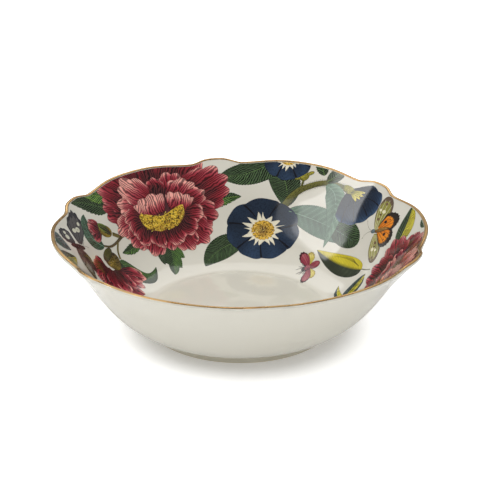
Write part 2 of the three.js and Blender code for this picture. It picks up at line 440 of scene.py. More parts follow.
def foot_ring():
    inner = FOOT_RADIUS - FOOT_WIDTH
    corner = 1.1
    section = np.concatenate(
        [
            arc(np.array([inner + corner, corner]), corner, 180, 270, 8),
            arc(np.array([FOOT_RADIUS - corner, corner]), corner, 270, 360, 8),
            [[FOOT_RADIUS + 0.1, FOOT_HEIGHT - 0.6], [FOOT_RADIUS + 0.7, FOOT_HEIGHT - 0.02]],
            [[inner - 1.6, FOOT_HEIGHT - 0.02], [inner - 0.5, FOOT_HEIGHT - 0.9]],
        ]
    )
    material = bare_foot_material()
    add_swept("foot_ring_turned", section, False, material, "foot_ring")


def gilded_line():
    """Gold over the crest of the lip, running a little way down inside and outside."""
    reach = 0.05
    outer = arc(LIP_CENTRE, LIP_CORE + reach, LIP_SLOPE - GILT_OUTSIDE, LIP_SLOPE + 90, 20)
    down = LIP_CENTRE + inward(LIP_SLOPE) * (LIP_CORE + reach) - heading(LIP_SLOPE) * GILT_INSIDE
    back = LIP_CENTRE + inward(LIP_SLOPE) * (LIP_CORE - 0.1) - heading(LIP_SLOPE) * GILT_INSIDE
    under = arc(LIP_CENTRE, LIP_CORE - 0.1, LIP_SLOPE + 90, LIP_SLOPE - GILT_OUTSIDE, 20)
    section = np.concatenate([outer, [down, back], under])
    add_swept("gilded_line", section, False, gold_material(), "gilded_rim")


# ---- drawings: flat shapes in millimetres, x to the right seen from inside, y up the wall ----
class Drawing:
    """One transfer: patches laid in order, each a little over the last, then put on the wall."""

    def __init__(self, name, family, azimuth, climb, replaced=(), seed=1, layer=0):
        self.name = name
        self.family = family
        self.azimuth = azimuth
        self.climb = climb
        self.replaced = replaced
        self.rng = np.random.default_rng(seed)
        self.points = []
        self.faces = []
        self.pigment = []
        self.detail = []
        self.count = 0
        self.layer = layer

    def local(self, azimuth, climb):
        """A place on the wall, as this drawing's x and y."""
        across = math.radians(self.azimuth - azimuth) * DRAWING_RADIUS
        return np.array([across, climb - self.climb])

    def grid(self, places, colour, phase=0.0, lines=0.0, edge=9.0, outline=0.0, stipple=0.0, closed=False):
        """Lays a grid of places, of shape (rows, columns, 2), with its paint."""
        rows, columns = places.shape[:2]
        start = self.count
        flat = places.reshape(-1, 2)
        level = np.full((len(flat), 1), float(self.layer))
        self.points.append(np.concatenate([flat, level], axis=1))
        shape = (rows, columns)
        tint = np.broadcast_to(np.asarray(colour, dtype=float), (*shape, 3)).reshape(-1, 3)
        spots = np.broadcast_to(stipple, shape).reshape(-1, 1)
        self.pigment.append(np.concatenate([tint, spots], axis=1))
        values = [np.broadcast_to(v, shape).reshape(-1) for v in (phase, lines, edge, outline)]
        self.detail.append(np.stack(values, axis=1))
        index = start + np.arange(rows * columns).reshape(shape)
        if closed:
            index = np.concatenate([index, index[:, :1]], axis=1)
        a, b, c, d = index[:-1, :-1], index[:-1, 1:], index[1:, 1:], index[1:, :-1]
        quads = np.stack([a, b, c, d], axis=-1).reshape(-1, 4)
        self.faces.append(quads)
        self.count += len(flat)
        self.layer += 1

    def finish(self):
        points = np.concatenate(self.points)
        pigment = np.concatenate(self.pigment)
        detail = np.concatenate(self.detail)
        mesh = bpy.data.meshes.new(self.name)
        quads = np.concatenate(self.faces)
        mesh.from_pydata(points.tolist(), [], quads.tolist())
        for label, values in (("pigment", pigment), ("detail", detail)):
            layer = mesh.attributes.new(label, "FLOAT_COLOR", "POINT")
            layer.data.foreach_set("color", values.astype(np.float32).ravel())
        shape = bmesh.new()
        shape.from_mesh(mesh)
        self.trim(shape, WALL_LENGTH - PRINT_HIGH_MARGIN - self.climb, 1)
        self.trim(shape, PRINT_LOW_MARGIN - self.climb, -1)
        bmesh.ops.dissolve_degenerate(shape, dist=0.004, edges=shape.edges[:])
        flat = np.array([vert.co[:] for vert in shape.verts])
        azimuth = self.azimuth - np.degrees(flat[:, 0] / DRAWING_RADIUS)
        stand = PRINT_STAND + LAYER_STEP * flat[:, 2]
        placed = on_wall(azimuth, self.climb + flat[:, 1], stand)
        for vert, place in zip(shape.verts, placed):
            vert.co = place
        shape.normal_update()
        for face in shape.faces:
            outwards = face.calc_center_median().xy.dot(face.normal.xy)
            if outwards > 0:
                face.normal_flip()
        shape.to_mesh(mesh)
        shape.free()
        add_piece(self.name, mesh, INK[self.family], self.replaced)

    @staticmethod
    def trim(shape, level, side):
        geometry = shape.verts[:] + shape.edges[:] + shape.faces[:]
        bmesh.ops.bisect_plane(shape, geom=geometry, plane_co=(0, level, 0), plane_no=(0, side, 0),
                               clear_outer=True, dist=0.001)


def drawing(*placed, **more):
    """A new drawing, and what turns a place on the wall into its x and y."""
    d = Drawing(*placed, **more)
    return d, d.local


def wander(rng, u, v, waves=5):
    """A smooth random field over u and v, roughly -1 to 1."""
    total = 0
    for _ in range(waves):
        a, b = rng.normal(0, 3.2, 2)
        total = total + np.sin(a * u + b * v + rng.uniform(0, 6.28))
    return total / waves * 1.4


def turned(places, degrees):
    c, s = math.cos(math.radians(degrees)), math.sin(math.radians(degrees))
    return places @ np.array([[c, s], [-s, c]])


def grid_columns(count):
    """Columns of a grid, from -1 to 1."""
    return np.linspace(-1, 1, count)[None, :]


def grid_rows(start, count):
    """Rows of a grid, from start to 1."""
    return np.linspace(start, 1, count)[:, None]


def round_angles(count):
    """Columns of a grid that closes on itself."""
    return np.linspace(0, 2 * math.pi, count, endpoint=False)[None, :]


def bent_path(start, middle, end, steps, first=0.0, last=1.0):
    return [bent_spine(start, middle, end, t) for t in np.linspace(first, last, steps)]


def bent_spine(start, middle, end, v):
    s = 1 - v
    return s * s * start + 2 * s * v * middle + v * v * end


# ---- petals ----
PETAL_STOPS = shades(
    (0.00, 34, 12, 16), (0.20, 66, 14, 24), (0.42, 118, 18, 34),
    (0.62, 144, 46, 60), (0.82, 184, 98, 98), (1.00, 216, 154, 142),
)


def petal(d, base, aim, length, width, tone=0.5, ruffles=4, ruffle=0.05, roundness=0.5,
          stops=PETAL_STOPS, spread=1.0, lines=0.85, neck=0.28, fold=0.25, pitch=1.15, fringe=0.16):
    """A petal that fans out from its base. aim is its direction, in degrees from x."""
    columns = max(14, int(width / (0.58 if fringe else 1.0)))
    rows = max(8, int(length / CELL))
    u = grid_columns(columns)
    v = grid_rows(0, rows) ** 0.9
    angle = u * math.pi / 2 * spread
    shift = d.rng.uniform(0, 6.28)
    wave = np.abs(np.sin(u * math.pi * ruffles / 2 + shift)) - 0.6
    wave = wave + 0.3 * np.sin(u * 3.1 + shift * 2)
    nick = np.abs(((u * width / 2 / 1.9 + shift) % 1) - 0.5) * 2 * v**6
    reach = 1 + ruffle * wave - fringe * nick / length
    tip_x = width / 2 * np.sin(angle) / math.sin(min(spread, 1) * math.pi / 2) * reach
    tip_y = length * ((1 - roundness) + roundness * np.cos(angle)) * reach
    x = tip_x * (neck + (1 - neck) * v**0.75)
    y = tip_y * v
    places = turned(np.stack([x, y], axis=-1), aim - 90) + np.asarray(base)
    field = wander(d.rng, u, v)
    ridge = np.cos(u * math.pi * ruffles + 2 * shift + math.pi) * 0.6
    g = 0.72 * v**1.7 + (tone - 0.42) * 0.8 * v**0.25 + 0.13 * field + fold * ridge * v
    g = g + 0.22 * np.clip((v - 0.8) * 5, 0, 1)
    g = g - 0.3 * np.clip(np.abs(u) - 0.72, 0, 1) * 3.5 * (1 - v * 0.6)
    colour = ramp(stops, np.clip(g, 0, 1))
    phase = u * width / 2 / pitch * (0.55 + 0.45 * v) + 0.5 * np.sin(v * 5 + shift) + 0.9 * ridge * v
    edge = np.minimum((1 - np.abs(u)) * width / 2 * (0.3 + 0.7 * v), (1 - v) * length)
    d.grid(places, colour, phase=phase, lines=lines, edge=edge, outline=0.7)


def stamens(d, centre, width, drop, thickness, turn):
    """A crescent of anthers: a speckled golden field with single anthers over its edge."""
    dark = linear(66, 48, 16)
    gold = linear(206, 176, 50)
    pale = linear(234, 214, 96)
    stops = [(0, dark), (0.35, linear(160, 130, 36)), (0.7, gold), (1, pale)]

    def crescent(u, v):
        """u runs along the crescent and v across it. It is thinnest in its middle."""
        half = np.sqrt(np.clip(1 - u * u, 0, 1))
        deep = thickness * (0.2 + 1.25 * half**0.8 * (0.55 + 0.45 * np.abs(u)))
        y = drop * (0.5 - half**2) + (v - 0.5) * deep
        return turned(np.stack([u * width / 2 + 0 * v, y], axis=-1), turn) + centre

    u = grid_columns(int(width / 0.6))
    v = grid_rows(0, 14)
    field = wander(d.rng, u * 4, v * 3, 7)
    level = 0.5 + 0.3 * field + 0.3 * (v - 0.5)
    d.grid(crescent(u, v), ramp(stops, np.clip(level, 0, 1)), stipple=0.9)
    for ring in range(2):
        for _ in range(110):
            a = d.rng.uniform(-0.98, 0.98)
            b = d.rng.normal(0.5, 0.33)
            size = d.rng.uniform(0.25, 0.5)
            shade = dark if d.rng.random() < 0.5 else (pale if ring else gold)
            dot(d, crescent(np.array(a), np.array(b)), size, shade, sides=7)
        d.layer += 1


def dot(d, centre, radius, colour, sides=9):
    """A round spot. It stays on the layer that the drawing has reached."""
    angle = round_angles(sides)
    ring = np.array([0.04, 1.0])[:, None] * radius
    places = np.stack([ring * np.cos(angle), ring * np.sin(angle)], axis=-1) + np.asarray(centre)
    d.grid(places, colour, closed=True)
    d.layer -= 1


def oval(d, centre, width, height, aim, stops, lobes=0, lobe=0.0, lines=0.6, pitch=1.0, stipple=0.0,
         outline=0.8, light=(0.3, 0.5)):
    """A round form, lighter towards one side, such as a bud, calyx or insect's body."""
    sides = max(18, int((width + height) / CELL * 1.7))
    rings = max(5, int(max(width, height) / 2 / CELL))
    angle = round_angles(sides)
    v = grid_rows(0.03, rings)
    reach = v * (1 + lobe * (np.abs(np.sin(angle * lobes / 2)) - 0.6))
    x = reach * np.cos(angle)
    y = reach * np.sin(angle)
    places = turned(np.stack([x * width / 2, y * height / 2], axis=-1), aim) + np.asarray(centre)
    field = wander(d.rng, x * 1.5, y * 1.5)
    g = 0.5 + 0.45 * (x * light[0] + y * light[1]) + 0.22 * field - 0.2 * v**3
    colour = ramp(stops, np.clip(g, 0, 1))
    edge = (1 - v) * min(width, height) / 2 + 0 * angle
    d.grid(places, colour, phase=x * width / 2 / pitch, lines=lines, edge=edge, outline=outline,
           stipple=stipple, closed=True)


# ---- leaves and stems ----
LEAF_DARK = shades((0, 9, 17, 10), (0.4, 20, 37, 20), (0.75, 46, 72, 36), (1, 98, 128, 70))
LEAF_BRIGHT = shades((0, 26, 48, 24), (0.5, 66, 100, 36), (1, 134, 166, 70))
LEAF_GREY = shades((0, 34, 56, 48), (0.5, 72, 102, 86), (1, 128, 156, 134))
LEAF_BLUE = shades((0, 22, 32, 38), (0.5, 54, 70, 76), (1, 104, 122, 124))
LEAF_YELLOW = shades((0, 104, 104, 24), (0.4, 196, 180, 36), (1, 238, 224, 66))
BUD_STOPS = shades((0, 84, 86, 22), (0.5, 150, 142, 40), (1, 212, 196, 74))
LEAF_BLACK = shades((0, 16, 22, 18), (0.6, 36, 46, 36), (1, 84, 98, 72))


def leaf(d, base, middle, tip, width, stops=LEAF_DARK, other=None, teeth=0, tooth=0.08, fullness=0.8,
         blunt=0.75, tone=0.0, lines=1.0, pitch=1.75, rib=True, slant=0.8, skew=0.0, bristle=0.6, ribs=1.0):
    """A leaf along a bent spine. other colours the left half, seen from base to tip."""
    base, middle, tip = (np.asarray(p, dtype=float) for p in (base, middle, tip))
    length = np.linalg.norm(middle - base) + np.linalg.norm(tip - middle)
    rows = max(16, int(length / 0.62))
    columns = max(9, int(width / CELL) | 1)
    v = grid_rows(0, rows)
    u = grid_columns(columns)
    spine = bent_spine(base, middle, tip, v)
    run = np.gradient(spine, axis=0)
    run = run / np.linalg.norm(run, axis=1, keepdims=True)
    side = np.stack([-run[:, 1], run[:, 0]], axis=-1)
    swell = np.sin(math.pi * np.clip(v, 0, 1) ** fullness) ** blunt
    saw = 1.0
    if teeth:
        saw = 1 + tooth * (2 * ((v * teeth) % 1) - 1) * np.abs(u)
    comb = np.abs(((v * length / 1.6) % 1) - 0.5) * 2 * np.abs(u) ** 4
    half = width / 2 * swell * saw * (1 + skew * u * 0.5) - bristle * comb * swell
    half = np.maximum(half, 0.12)
    places = spine[:, None, :] + side[:, None, :] * (u * half)[..., None]
    field = wander(d.rng, u * 1.2, v * 2.2)
    turn = v * length / 5.2 - np.abs(u) * slant * width / 2 / 5.2
    veins = np.exp(-(((turn % 1) - 0.5) / 0.16) ** 2)
    g = 0.4 + tone + 0.18 * field + 0.42 * ribs * (veins - 0.3) * (1 - 0.6 * np.abs(u)) + 0.09 * np.sign(u)
    g = g - 0.12 * (1 - np.abs(u)) ** 3
    colour = ramp(stops, np.clip(g, 0, 1))
    if other is not None:
        second = ramp(other, np.clip(g - 0.1, 0, 1))
        share = np.clip((u + 0.06) * 8, 0, 1)[..., None]
        colour = colour * (1 - share) + second * share
    phase = v * length / pitch - np.abs(u) * slant * width / 2 / pitch
    edge = np.minimum((1 - np.abs(u)) * width / 2 * swell, (1 - v) * length + 0.2)
    d.grid(places, colour, phase=phase, lines=lines, edge=edge, outline=0.7)
    if rib:
        shade = ramp(stops, np.array([0.95]))[0]
        line_path(d, bent_path(base, middle, tip, 14, last=0.93), 0.5, 0.12, shade)


def line_path(d, path, start_width, end_width, colour, stipple=0.0, shade=0.0, sides=3, together=False):
    """A ribbon along a path whose width runs from start to end."""
    path = np.asarray(path, dtype=float)
    run = np.gradient(path, axis=0)
    run = run / np.maximum(np.linalg.norm(run, axis=1, keepdims=True), 1e-6)
    side = np.stack([-run[:, 1], run[:, 0]], axis=-1)
    v = grid_rows(0, len(path))
    u = grid_columns(sides)
    half = (start_width + (end_width - start_width) * v) / 2
    places = path[:, None, :] + side[:, None, :] * (u * half)[..., None]
    tint = np.asarray(colour)[None, None, :] * (1 + shade * u[..., None] + 0 * v[..., None])
    d.grid(places, tint, stipple=stipple)
    if together:
        d.layer -= 1


def curve(points, steps=24):
    """A smooth path through given points."""
    points = np.asarray(points, dtype=float)
    if len(points) == 2:
        t = np.linspace(0, 1, steps)[:, None]
        return points[0] * (1 - t) + points[1] * t
    padded = np.concatenate([[2 * points[0] - points[1]], points, [2 * points[-1] - points[-2]]])
    path = []
    for i in range(1, len(padded) - 2):
        p0, p1, p2, p3 = padded[i - 1 : i + 3]
        for t in np.linspace(0, 1, steps, endpoint=False):
            a = 2 * p1
            b = (p2 - p0) * t
            c = (2 * p0 - 5 * p1 + 4 * p2 - p3) * t * t
            e = (3 * p1 - p0 - 3 * p2 + p3) * t**3
            path.append((a + b + c + e) / 2)
    path.append(points[-1])
    return np.array(path)


def stem(d, points, start_width, end_width, colour, hairs=0.0):
    path = curve(points, 12)
    line_path(d, path, start_width, end_width, colour, stipple=0.5, shade=0.35, sides=5)
    dark = np.asarray(colour) * 0.3
    if hairs:
        for i in range(2, len(path) - 1):
            for side in (-1, 1):
                run = path[i + 1] - path[i - 1]
                run = run / np.linalg.norm(run)
                out = np.array([-run[1], run[0]]) * side
                root = path[i] + out * start_width * 0.4
                end = root + out * d.rng.uniform(0.5, 1.2) * hairs + run * d.rng.uniform(0.2, 0.9)
                line_path(d, [root, end], 0.22, 0.08, dark, together=True)
        d.layer += 1


# ---- flowers ----
def peony(d, size=1.0, mirror=1, turn=0.0):
    """A full peony seen a little from above. The middle of its stamens is the drawing's own middle."""

    def place(x, y):
        return turned(np.array([x * mirror, y]), turn) * size

    def lay(x, y, aim, length, width, tone, **more):
        direction = (aim if mirror > 0 else 180 - aim) + turn
        petal(d, place(x, y), direction, length * size, width * size, tone=tone, **more)

    # the guard petals behind, then the ones inside them
    for x, y, aim, length, width, tone in (
        (-9, 12, 96, 30, 26, 0.16), (-12, 10, 158, 29, 30, 0.24), (-8, 12, 128, 37, 34, 0.26),
        (6, 12, 90, 34, 22, 0.18), (12, 12, 64, 37, 30, 0.3), (14, 6, 27, 38, 35, 0.32),
        (14, 0, 350, 27, 24, 0.42), (12, -3, 322, 27, 24, 0.4), (-12, 3, 182, 27, 19, 0.66),
        (-11, -1, 208, 23, 21, 0.48), (8, -4, 292, 25, 21, 0.48), (-6, -4, 238, 23, 21, 0.42),
        (1, -4, 266, 20, 21, 0.46),
    ):
        lay(x, y, aim, length, width, tone, ruffles=width / 6.5, ruffle=0.1, roundness=0.52)
    # the shaded heart and the crumpled petals round it
    shade = shades((0, 36, 22, 27), (1, 84, 44, 52))
    oval(d, place(2, 17), 40 * size, 20 * size, turn, shade, lobes=7, lobe=0.25, outline=0)
    oval(d, place(1, 1), 34 * size, 16 * size, turn, shade, outline=0)
    for x, y, aim, length, width, tone in (
        (-9, 10, 152, 20, 20, 0.98), (-5, 12, 119, 24, 20, 1.04), (9, 13, 70, 20, 17, 0.46),
        (12, 12, 44, 18, 18, 0.9), (18, 9, 16, 17, 14, 0.56), (-15, 6, 176, 14, 13, 0.74),
        (4, 14, 92, 15, 12, 0.22),
    ):
        lay(x, y, aim, length, width, tone, ruffles=3.4, ruffle=0.13, roundness=0.55, neck=0.4)
    for x, y, aim, length, width, tone in (
        (-4, 3, 96, 14.5, 25, 1.34), (14, 3, 74, 13.5, 18, 1.26),
    ):
        lay(x, y, aim, length, width, tone, ruffles=4, ruffle=0.12, roundness=0.3, neck=0.66, spread=0.92)
    stamens(d, place(1, 0), 34 * size, 7 * size, 11.5 * size, turn)
    # the front petals that cup the stamens and fold outwards
    for x, y, aim, length, width, tone in (
        (-17, 0, 196, 11, 13, 0.68), (19, 1, 346, 12, 14, 0.66),
        (-14, -4.5, 222, 13, 13, 0.62), (14.5, -4.5, 316, 13, 14, 0.56),
        (-6, -8, 250, 11.5, 14, 0.64), (6, -8.5, 284, 13, 15, 0.58),
    ):
        lay(x, y, aim, length, width, tone, ruffles=3, ruffle=0.09, roundness=0.45, neck=0.5)


TRUMPET_STOPS = shades((0, 8, 14, 24), (0.45, 20, 36, 58), (0.8, 38, 60, 88), (1, 84, 104, 132))


def trumpet_face(d, radius_x, radius_y, aim=0.0, lobes=7, star=0.56, eye=0.31):
    """A trumpet flower seen from the front: a lobed navy disc, creases, a pale star, an eye."""
    stretch = np.array([radius_x, radius_y])
    unit = radius_y / 23  # the marks are sized for a flower 46 mm high
    sides = 150
    rings = max(12, int(radius_x / CELL * 0.9))
    angle = round_angles(sides)
    v = grid_rows(0.05, rings)
    turn = math.radians(aim)
    notch = 1 - 0.07 * (1 - np.abs(np.sin((angle - turn) * lobes / 2)) ** 0.5)
    notch = notch + 0.012 * np.sin(angle * 11 + 1)
    reach = v * (1 + (notch - 1) * v)
    x = reach * np.cos(angle)
    y = reach * np.sin(angle)
    field = wander(d.rng, x * 1.6, y * 1.6, 7)
    between = np.abs(np.sin((angle - turn) * lobes / 2))
    g = 0.38 + 0.2 * field + 0.16 * (between - 0.5) * v + 0.12 * (v - 0.5) - 0.12 * y
    places = np.stack([x, y], axis=-1) * stretch
    d.grid(places, ramp(TRUMPET_STOPS, np.clip(g, 0, 1)), phase=angle * 26, lines=0.22,
           edge=(1 - v) * radius_y + 0 * angle, outline=0.6, stipple=0.4, closed=True)
    for k in range(lobes):
        a = turn + 2 * math.pi * k / lobes + d.rng.uniform(-0.08, 0.08)
        sway = d.rng.uniform(-0.28, 0.28)
        inner = star * 0.8
        path = [
            stretch * t * np.array([math.cos(a + sway * (1 - t)), math.sin(a + sway * (1 - t))])
            for t in np.linspace(0.93, inner, 14)
        ]
        line_path(d, path, 1.7 * unit, 0.7 * unit, linear(10, 14, 26), together=True)
    d.layer += 1
    cream = linear(232, 226, 204)
    points = 16
    angle = round_angles(points * 8)
    spike = np.abs(((angle * points / (2 * math.pi)) % 1) * 2 - 1)
    jitter = np.repeat(d.rng.uniform(0.45, 1.25, points), 8)[None, :]
    angle = angle + 0.07 * np.sin(angle * 5 + 1) + 0.05 * np.sin(angle * 9)
    outline = star * (0.62 + 0.4 * spike**1.3 * jitter)
    v = grid_rows(0.1, 8)
    places = np.stack([v * outline * np.cos(angle), v * outline * np.sin(angle)], axis=-1) * stretch
    tint = ramp([(0, linear(206, 196, 150)), (0.7, cream), (1, linear(224, 216, 190))], v + 0 * angle)
    d.grid(places, tint, phase=angle * 30, lines=0.25, closed=True)
    angle = round_angles(48)
    rough = 1 + 0.05 * np.sin(angle * 17) + 0.03 * np.sin(angle * 29 + 2)
    v = grid_rows(0.05, 9)
    places = np.stack([v * rough * np.cos(angle), v * rough * np.sin(angle)], axis=-1) * stretch * eye
    field = wander(d.rng, v * np.cos(angle) * 4, v * np.sin(angle) * 4, 7)
    stops = shades((0, 66, 50, 26), (0.35, 150, 112, 34), (0.75, 204, 160, 40), (1, 224, 192, 92))
    tint = ramp(stops, np.clip(0.2 + 0.62 * v + 0.22 * field, 0, 1))
    edge = (1 - v) * radius_y * eye + 0 * angle
    d.grid(places, tint, stipple=0.75, closed=True, edge=edge, outline=0.4)
    for _ in range(int(46 * unit)):
        a = d.rng.uniform(0, 6.28)
        r = d.rng.uniform(0, eye * 0.95)
        spot = stretch * r * np.array([math.cos(a), math.sin(a)])
        shade = linear(240, 214, 110) if d.rng.random() > 0.5 else linear(58, 42, 20)
        dot(d, spot, d.rng.uniform(0.22, 0.5) * unit, shade)
    d.layer += 1


def trumpet_side(d, mouth, aim, length, width):
    """A trumpet flower seen from the side, its mouth turned away."""
    mouth = np.asarray(mouth, dtype=float)
    petal(d, mouth, aim + 34, length * 0.8, width * 0.5, tone=0.2, stops=TRUMPET_STOPS, ruffles=1,
          ruffle=0.03, roundness=0.5, neck=0.2, lines=0.3, fringe=0)
    petal(d, mouth, aim, length, width, tone=0.4, stops=TRUMPET_STOPS, ruffles=5, ruffle=0.035,
          roundness=0.55, neck=0.16, lines=0.3, fold=0.12, fringe=0)
    for swing in (-40, -16, 10, 36):
        start = mouth + heading(aim + swing * 0.6) * length * 0.3
        end = mouth + heading(aim + swing) * length * 0.92
        line_path(d, curve([start, (start + end) / 2 + inward(aim) * swing * 0.02, end], 8), 0.3, 0.9,
                  linear(12, 16, 28), together=True)
    d.layer += 1


# ---- insects ----
def wing(d, root, aim, length, width, stops, border, border_from=0.84, veins=6, spots=(), roundness=0.5,
         neck=0.2, bend=0.0, tone=0.55, vein_colour=None, lobes=6):
    """An insect's wing: a fan with a dark border, veins and round spots."""
    root = np.asarray(root, dtype=float)
    columns = max(22, int(width / CELL * 2))
    rows = max(14, int(length / CELL * 1.5))
    u = grid_columns(columns)
    v = grid_rows(0, rows)
    angle = u * math.pi / 2
    reach = 1 + 0.03 * np.cos(u * math.pi * lobes)
    x = width / 2 * np.sin(angle) * reach * (neck + (1 - neck) * v**0.8)
    y = length * ((1 - roundness) + roundness * np.cos(angle)) * reach * v
    curl = np.radians(bend) * v
    flat = np.stack([x * np.cos(curl) - y * np.sin(curl), x * np.sin(curl) + y * np.cos(curl)], axis=-1)
    places = turned(flat, aim - 90) + root
    field = wander(d.rng, u, v)
    colour = ramp(stops, np.clip(tone + 0.25 * field + 0.2 * (v - 0.5), 0, 1))
    from_rim = np.minimum((1 - np.abs(u)) * 0.9 + 0.04, 1 - v)
    scallop = 0.02 * np.abs(np.sin(u * math.pi * lobes / 2))
    share = np.clip((1 - border_from + scallop - from_rim) * 30, 0, 1)[..., None]
    colour = colour * (1 - share) + np.asarray(border) * share
    d.grid(places, colour, phase=u * 7 + 0 * v, lines=0.25, stipple=0.2,
           edge=np.minimum((1 - np.abs(u)) * width / 2, (1 - v) * length), outline=0.7)
    vein = np.asarray(border if vein_colour is None else vein_colour)
    for k in range(veins):
        column = int((k + 1) / (veins + 1) * (columns - 1))
        line_path(d, places[1 : int(rows * 0.93), column], 0.34, 0.2, vein, together=True)
    d.layer += 1
    for across, along, radius, tint in spots:
        column = int((across + 1) / 2 * (columns - 1))
        row = int(along * (rows - 1))
        dot(d, places[row, column], radius, tint, sides=14)
    d.layer += 1


def feelers(d, head, aim, length, spread=34, colour=None, knob=0.35):
    ink = linear(30, 26, 24) if colour is None else colour
    for side in (-1, 1):
        end = np.asarray(head) + heading(aim + side * spread) * length
        middle = np.asarray(head) + heading(aim + side * spread * 0.35) * length * 0.6
        line_path(d, bent_path(np.asarray(head), middle, end, 12), 0.28, 0.2, ink, together=True)
        dot(d, end, knob, ink)
    d.layer += 1


# ---- what is drawn where ----
def draw_left_peony():
    d, _ = drawing("peony_left_transfer", "crimson", 124, 53, ["print_peony_left"], seed=11, layer=8)
    peony(d)
    d.finish()


def draw_left_leaves():
    replaced = ["print_leaf_pair_left", "print_hanging_leaf"]
    d, at = drawing("peony_left_leaves", "green", 140, 60, replaced, seed=12)
    leaf(d, at(146, 72), at(150, 82), at(160, 89), 16, LEAF_DARK, teeth=9, tone=-0.15)
    leaf(d, at(143, 79), at(148, 88), at(153, 93), 12, LEAF_BRIGHT, teeth=6, tone=0.1)
    leaf(d, at(138, 43), at(144, 38), at(151.5, 41), 8.5, LEAF_DARK, LEAF_BRIGHT, teeth=7)
    leaf(d, at(102, 55), at(96, 63), at(89.6, 62.5), 9.5, LEAF_BRIGHT, LEAF_DARK, teeth=6)
    leaf(d, at(124.5, 40), at(123, 24), at(131.6, 9.5), 19, LEAF_DARK, LEAF_BRIGHT,
         teeth=4, tooth=0.2, tone=-0.05, fullness=0.7)
    leaf(d, at(127, 36), at(131.5, 31), at(132.2, 20), 9, LEAF_BLACK, teeth=2, tooth=0.2, tone=0.1)
    d.finish()


def draw_left_bud():
    d, at = drawing("bud_left_leaf", "green", 160, 62, seed=14)
    leaf(d, at(160, 52.5), at(169, 66), at(158.6, 78), 15, LEAF_GREY, tone=-0.25, lines=0.8)
    d.finish()
    d, at = drawing("bud_left_stems", "yellow", 150, 52, seed=15, layer=4)
    olive = linear(96, 82, 40)
    brown = linear(78, 60, 38)
    stem(d, [at(137.5, 57), at(142, 52.5), at(147, 51.5), at(151, 56)], 2.9, 2.9, olive)
    stem(d, [at(146, 51.4), at(151, 49.4), at(156, 49.5), at(160, 53)], 2.5, 1.5, brown)
    stem(d, [at(150.5, 49), at(153.5, 44), at(155.2, 38.5)], 1.7, 2.0, olive)
    d.finish()
    d, at = drawing("bud_left_transfer", "crimson", 157, 65, ["print_bud_left"], seed=16, layer=10)
    for aim, tone in ((150, 0.4), (112, 0.5), (190, 0.55), (132, 0.65)):
        petal(d, at(156.5, 62.5), aim, 11.5, 9.5, tone=tone, ruffles=3)
    stops = shades((0, 62, 56, 20), (0.5, 140, 122, 36), (1, 202, 180, 66))
    oval(d, at(154, 60.5), 12.5, 9, -42, stops, stipple=0.65, light=(0.5, -0.3))
    petal(d, at(152, 56.5), 118, 12.5, 6, tone=0.42, stops=LEAF_BRIGHT, ruffles=1, ruffle=0)
    d.finish()


def draw_drooping_bloom():
    d, at = drawing("drooping_bloom_transfer", "crimson", 166, 36, ["print_drooping_bloom"],
                    seed=21, layer=6)
    for aim, length, width, tone, azimuth, climb in (
        (118, 17, 18, 0.28, 170, 38), (160, 24, 22, 0.32, 168, 38), (196, 27, 22, 0.38, 166, 37),
        (230, 28, 22, 0.36, 165, 36), (262, 28, 20, 0.44, 164, 36), (296, 24, 17, 0.5, 163, 35),
        (318, 22, 14, 0.72, 160, 32), (212, 19, 16, 0.6, 166, 37), (246, 21, 15, 0.64, 165, 36),
        (278, 20, 12, 0.5, 163, 36),
    ):
        petal(d, at(azimuth, climb), aim, length, width, tone=tone, ruffles=3, ruffle=0.09, pitch=1.6)
    stops = shades((0, 34, 38, 18), (0.5, 92, 86, 30), (1, 180, 152, 48))
    oval(d, at(160.8, 41), 17, 14, -30, stops, stipple=0.8, lobes=3, lobe=0.12, light=(0.3, -0.6))
    oval(d, at(161.5, 47), 15, 7, 10, shades((0, 40, 50, 28), (1, 88, 96, 44)), stipple=0.3)
    d.finish()


def draw_curled_leaf():
    d, at = drawing("curled_leaf_transfer", "green", 148, 27, ["print_curled_leaf"], seed=22, layer=2)
    leaf(d, at(157, 24), at(149, 13), at(144, 17), 8, LEAF_BLUE, tone=-0.05)
    leaf(d, at(156.5, 38), at(151, 4), at(138.2, 21), 14, LEAF_DARK, LEAF_BRIGHT, fullness=0.52, tone=-0.1)
    d.finish()


def draw_dark_butterfly():
    d, at = drawing("dark_butterfly_transfer", "insect", 180, 66, ["print_dark_butterfly"], seed=23)
    grey = shades((0, 46, 44, 48), (1, 98, 94, 92))
    pale = linear(208, 206, 186)
    dark = linear(52, 44, 42)
    spots_a = [(-0.3, 0.45, 1.9, pale), (0.2, 0.5, 2.2, pale), (0.35, 0.7, 1.5, pale),
               (0.2, 0.5, 0.7, dark)]
    wing(d, at(175, 68), 44, 27, 17, grey, linear(40, 38, 44), spots=spots_a, veins=4)
    spots_b = [(0.0, 0.5, 2.0, pale), (0.3, 0.72, 1.3, pale)]
    wing(d, at(178, 72), 98, 15, 12, grey, linear(40, 38, 44), spots=spots_b, veins=3)
    brown = shades((0, 30, 22, 20), (1, 112, 98, 84))
    wing(d, at(179, 70), 236, 26, 15, brown, linear(46, 36, 32), veins=6, tone=0.7)
    wing(d, at(178, 67), 262, 19, 10, brown, linear(40, 30, 28), veins=5, tone=0.35)
    oval(d, at(178, 69), 17, 4.6, -42, shades((0, 26, 12, 12), (1, 70, 40, 34)), light=(0.2, 0.6))
    feelers(d, at(175, 66), -12, 7, 26)
    d.finish()


def draw_rim_left():
    d, at = drawing("rim_left_leaves", "green", 190, 80, seed=24)
    leaf(d, at(186.5, 95), at(187.5, 86), at(186, 74.5), 15, LEAF_BLUE, tone=0.1, lines=0.5)
    leaf(d, at(203, 92), at(197, 78), at(189, 71), 13, LEAF_YELLOW, LEAF_BLACK, tone=-0.1)
    d.finish()


